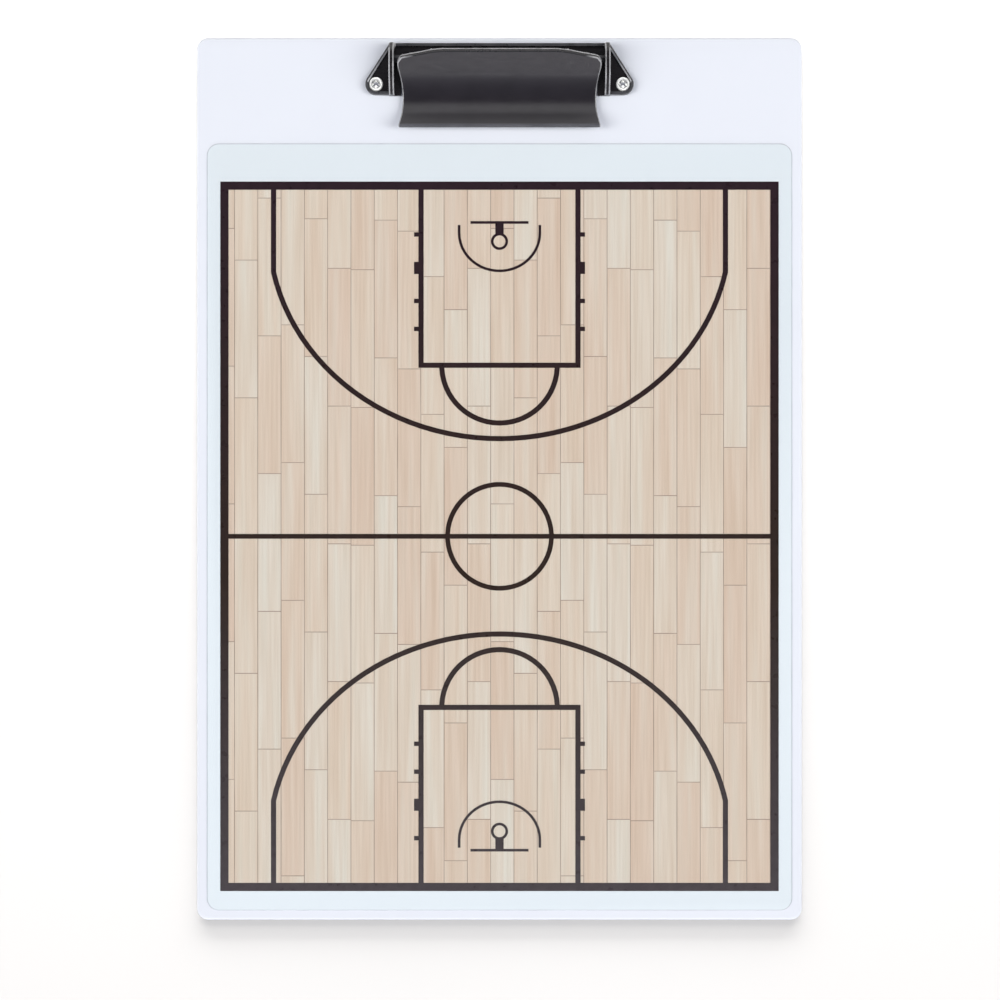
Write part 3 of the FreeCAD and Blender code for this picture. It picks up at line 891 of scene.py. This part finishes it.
def lathe(name, x, y, outline, steps):    # outline is (radius, height) pairs, turned about an upright axis
    bpy.ops.object.select_all(action="DESELECT")
    bpy.ops.mesh.primitive_plane_add(size=0.001, location=(0, 0, 0))
    piece = newest(name)
    edit(piece, "VERT")
    bpy.ops.mesh.select_all(action="SELECT")
    bpy.ops.mesh.merge(type="CENTER")
    bpy.ops.mesh.select_all(action="SELECT")
    bpy.ops.transform.translate(value=(x + outline[0][0], y, outline[0][1]))
    for (r0, z0), (r1, z1) in zip(outline, outline[1:]):
        extrude((r1 - r0, 0, z1 - z0))
    bpy.ops.mesh.select_all(action="SELECT")
    bpy.ops.mesh.spin(steps=steps, angle=2 * math.pi, center=(x, y, 0), axis=(0, 0, 1))
    done()
    cleanUp(piece)
    return piece


def makeRivet(side):
    low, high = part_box("rivet_" + side)
    x, y = (low.x + high.x) / 2, (low.y + high.y) / 2
    rim, shank, bore = rivet["flangeRadius"], rivet["shankRadius"], rivet["boreRadius"]
    top, bottom, thick = high.z, low.z, rivet["flange"]
    floorOfBore = top - rivet["boreDepth"]
    inner = bore + thick * 0.35    # where the rolled flange dips into the mouth
    middle, half = (rim + inner) / 2, (rim - inner) / 2
    outline = [
        (0, bottom), (rim - thick * 0.4, bottom), (rim - thick * 0.1, bottom + thick * 0.15),
        (rim, bottom + thick * 0.5), (rim - thick * 0.15, bottom + thick), (shank, bottom + thick),
        (shank, top - thick), (rim - thick * 0.1, top - thick),
    ]
    for step in range(13):
        turn = math.pi * step / 12
        outline.append((middle + half * math.cos(turn), top - thick * 0.85 + thick * 0.85 * math.sin(turn)))
    outline += [
        (bore + thick * 0.08, top - thick * 1.3), (bore, top - thick * 1.7), (bore, floorOfBore),
        (bore * 0.9, floorOfBore - thick * 0.2), (0, floorOfBore - rivet["drillPoint"]),
    ]
    piece = lathe("rivet_body_" + side, x, y, outline, rivet["segments"])
    smooth(piece, 50)
    dress(piece, nickel, nickelSatin)
    for face in piece.data.polygons:    # rolled flange satin, drilled mouth bright
        away = math.hypot(face.center.x - x, face.center.y - y)
        face.material_index = 1 if away > bore + thick * 0.3 and face.center.z > top - thick * 1.05 else 0
    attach(piece, "board")
    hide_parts("rivet_" + side)
    return piece


rivets = [makeRivet(side) for side in ("left", "right")]
for side in ("left", "right"):
    dress(nodes["rivet_washer_" + side], nickel)
print("rivets set")


# hinge pin

pin = {
    "chamfer": 0.00030,
    "punchDepth": 0.00025,
    "punchRim": 0.45,    # share of the radius left round the punch mark
}


def makePin():
    low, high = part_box("hinge_pin")
    radius = (high.z - low.z) / 2
    piece = cylinder("hinge_pin_rod", 48, radius, high.x - low.x, (0, hingeY, hingeZ), (0, math.pi / 2, 0))
    place(piece)
    edit(piece, "FACE")
    selectFaces(piece, lambda face: abs(face.normal.x) > 0.9)
    bpy.ops.mesh.bevel(offset=pin["chamfer"], segments=3, affect="EDGES")
    selectFaces(piece, lambda face: abs(face.normal.x) > 0.99)
    bpy.ops.mesh.inset(
        thickness=radius * pin["punchRim"], depth=-pin["punchDepth"], use_individual=True)
    done()
    smooth(piece, 35)
    dress(piece, pinSteel)
    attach(piece, "board")
    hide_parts("hinge_pin")
    print("hinge pin turned")


makePin()


# torsion springs

spring = {
    "wire": 0.0010,
    "coilRadius": 0.0026,
    "pitch": 0.00147,
    "turns": 4,
    "padLeg": 0.0065,
    "floorLeg": 0.0040,
    "middleX": 0.023,
    "stepsPerTurn": 32,
}


def coilPoint(angle, x):
    turn = -math.pi / 2 - angle
    return (x, hingeY + spring["coilRadius"] * math.cos(turn), hingeZ + spring["coilRadius"] * math.sin(turn))


def makeSpring(side, hand):
    pad = math.radians(lever["padAngle"])
    wound = 2 * math.pi * spring["turns"] + math.pi - pad
    length = spring["pitch"] * wound / (2 * math.pi)
    startX = spring["middleX"] - length / 2
    count = math.ceil(wound / (2 * math.pi) * spring["stepsPerTurn"])
    points = []
    for step in range(count + 1):
        angle = wound * step / count
        points.append(coilPoint(angle, startX + length * step / count))
    rise = spring["pitch"] / (2 * math.pi * spring["coilRadius"])
    first, last = points[0], points[-1]
    floorLeg, padLeg = spring["floorLeg"], spring["padLeg"]
    points.insert(0, (first[0] - rise * floorLeg, first[1] + floorLeg, first[2]))
    points.append((
        last[0] + rise * padLeg, last[1] + padLeg * math.cos(pad), last[2] + padLeg * math.sin(pad)))
    curve = bpy.data.curves.new("spring_wire_" + side, "CURVE")
    curve.dimensions = "3D"
    curve.bevel_depth = spring["wire"] / 2
    curve.bevel_resolution = 4
    curve.use_fill_caps = True
    line = curve.splines.new("POLY")
    line.points.add(len(points) - 1)
    for point, (x, y, z) in zip(line.points, points):
        point.co = (hand * x, y, z, 1)
    piece = bpy.data.objects.new("spring_wire_" + side, curve)
    bpy.context.scene.collection.objects.link(piece)
    pick(piece)
    bpy.ops.object.convert(target="MESH")
    piece = bpy.context.active_object
    cleanUp(piece)
    smooth(piece, 50)
    dress(piece, springSteel)
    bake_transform(piece)
    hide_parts("spring_" + side)


makeSpring("left", -1)
makeSpring("right", 1)
print("springs wound")


# floor, light and camera

studio = {
    "viewWidth": 0.3965,    # what the picture's width covers at the printed face
    "viewCentre": (0.0002, -0.0084),
    "cameraHeight": 0.95,
    "sensor": 36.0,
    "floorSize": 12.0,
    "floorFade": (0.4, 1.4),    # distances over which the paper turns paler
    "horizon": (1.30, 1.31, 1.42),
    "lowSky": (0.72, 0.73, 0.81),
    "highSky": (0.31, 0.32, 0.37),
    "backSky": (0.10, 0.10, 0.13),
    "sideLight": 5.98,    # brightness of each light's face, white paper being about 1
    "glint": 6.0,
    "rimLight": 1.9,
    "floorLow": 19.5,
    "floorHigh": 3.6,
    "floorTop": 2.46,
    "backCard": 1.68,
    "frontCard": 0.9,
}


def makeFloor():
    bpy.ops.object.select_all(action="DESELECT")
    bpy.ops.mesh.primitive_plane_add(size=studio["floorSize"])
    floor = newest("studio_floor")
    finish, tree, shader = newFinish("floorPaper")
    where = objectPlace(tree)
    colour = ramp(tree, noise(tree, where, 3.0), [(0.3, (0.495, 0.49, 0.475)), (0.7, (0.51, 0.505, 0.49))])
    # paler away from the board, where the lamps reach less
    distance = addNode(tree, "ShaderNodeVectorMath", operation="LENGTH")
    tree.links.new(where, distance.inputs[0])
    far = between(tree, distance.outputs["Value"], *studio["floorFade"])
    colour = mixed(tree, "MIX", far, colour, (0.90, 0.89, 0.87))
    tree.links.new(colour, shader.inputs["Base Color"])
    shader.inputs["Roughness"].default_value = 0.9
    shader.inputs["Specular IOR Level"].default_value = 0.1
    dress(floor, finish)
    return floor


def makeSky():
    world = bpy.data.worlds.new("softRoom")
    bpy.context.scene.world = world
    world.use_nodes = True
    tree = world.node_tree
    glow = tree.nodes["Background"]
    # a bright room in front of the board, a dark one behind the clip and overhead
    way = addNode(tree, "ShaderNodeTexCoord").outputs["Generated"]
    front = ramp(tree, axisPart(tree, way, "Z"), [
        (0.0, studio["horizon"]),
        (0.5, studio["lowSky"]),
        (0.9, studio["highSky"]),
    ])
    toBack = between(tree, axisPart(tree, way, "Y"), -0.1, 0.3)
    sky = mixed(tree, "MIX", toBack, front, studio["backSky"])
    tree.links.new(sky, glow.inputs["Color"])
    seen = addNode(tree, "ShaderNodeBackground")
    seen.inputs["Color"].default_value = (1, 1, 1, 1)
    path = addNode(tree, "ShaderNodeLightPath")
    mix = addNode(tree, "ShaderNodeMixShader")
    tree.links.new(path.outputs["Is Camera Ray"], mix.inputs[0])
    tree.links.new(glow.outputs[0], mix.inputs[1])
    tree.links.new(seen.outputs[0], mix.inputs[2])
    tree.links.new(mix.outputs[0], tree.nodes["World Output"].inputs["Surface"])


def group(name, *pieces):    # pieces that a lamp is kept to
    held = bpy.data.collections.new(name)
    for piece in pieces:
        held.objects.link(piece)
    return held


def softBox(name, where, aim, size, brightness, colour=(1, 1, 1)):
    lamp = bpy.data.lights.new(name, "AREA")
    lamp.shape = "RECTANGLE"
    lamp.size, lamp.size_y = size
    lamp.energy = brightness * math.pi * size[0] * size[1]
    lamp.color = colour
    stand = bpy.data.objects.new(name, lamp)
    stand.visible_camera = False
    stand.location = where
    way = mathutils.Vector(aim) - mathutils.Vector(where)
    stand.rotation_euler = way.to_track_quat("-Z", "Y").to_euler()
    bpy.context.scene.collection.objects.link(stand)
    return stand


def makeLights(floor):
    onlyRivets, onlyPlate = group("onlyRivets", *rivets), group("onlyPlate", boardPlate)
    onlyFloor, notFloor = group("onlyFloor", floor), group("notFloor", floor)
    notFloor.collection_objects[0].light_linking.link_state = "EXCLUDE"
    for name, side in (("sideLightLeft", -1), ("sideLightRight", 1)):
        lamp = softBox(name, (side * 2.1, -0.12, 2.15), (0, 0.6, 0), (1.2, 2.2), studio["sideLight"],
                       (1.0, 0.995, 0.95))
        lamp.light_linking.receiver_collection = notFloor
        lamp.visible_glossy = False
    # cards that only show as reflections on the clip
    for name, where, aim, size in (
            ("backCard", (0, 1.31, 0.86), (0, 0.15, 0), (2.4, 1.6)),
            ("frontCard", (0, -1.5, 0.25), (0, 0.15, 0.01), (2.4, 0.5))):
        card = softBox(name, where, aim, size, studio[name])
        card.visible_diffuse = False
    # small bright cards for the rivets' glints
    for name, where in (
            ("glintLeft", (-1.25, -0.15, 0.80)),
            ("glintRight", (1.25, -0.15, 0.80)),
            ("glintTop", (0, 0.9, 1.3))):
        glint = softBox(name, where, (0, 0.15, 0), (0.45, 0.70), studio["glint"])
        glint.visible_diffuse = False
        glint.light_linking.receiver_collection = onlyRivets
    # low light along the plate's rim behind the clip
    rimLight = softBox("rimLight", (0, 1.6, 0.16), (0, boardHigh.y, 0), (2.6, 0.2), studio["rimLight"],
                       (1.0, 0.97, 0.87))
    rimLight.light_linking.receiver_collection = onlyPlate
    rimLight.visible_glossy = False
    # the floor has its own lights, so that the board's shadow falls below its lower edge only
    for name, where, size in (
            ("floorLow", (0, 1.55, 0.36), (3.2, 0.50)),
            ("floorHigh", (0, 1.30, 0.95), (3.2, 1.05))):
        lamp = softBox(name, where, (0, -0.17, 0), size, studio[name], (1.0, 0.985, 0.98))
        lamp.light_linking.receiver_collection = onlyFloor
        lamp.visible_glossy = False
    overhead = bpy.data.lights.new("floorTop", "SUN")
    overhead.energy = studio["floorTop"]
    overhead.angle = math.radians(50)
    overhead.color = (1.0, 0.99, 0.99)
    stand = bpy.data.objects.new("floorTop", overhead)
    stand.visible_camera = stand.visible_glossy = False
    stand.light_linking.receiver_collection = onlyFloor
    bpy.context.scene.collection.objects.link(stand)


def makeCamera():
    camera = bpy.data.cameras.new("photoCamera")
    camera.sensor_width = studio["sensor"]
    camera.lens = studio["sensor"] * studio["cameraHeight"] / studio["viewWidth"]
    stand = bpy.data.objects.new("photoCamera", camera)
    stand.location = (*studio["viewCentre"], boardHigh.z + studio["cameraHeight"])
    bpy.context.scene.collection.objects.link(stand)
    bpy.context.scene.camera = stand


makeLights(makeFloor())
makeSky()
makeCamera()
bpy.context.scene.view_settings.view_transform = "Standard"
print("studio set")
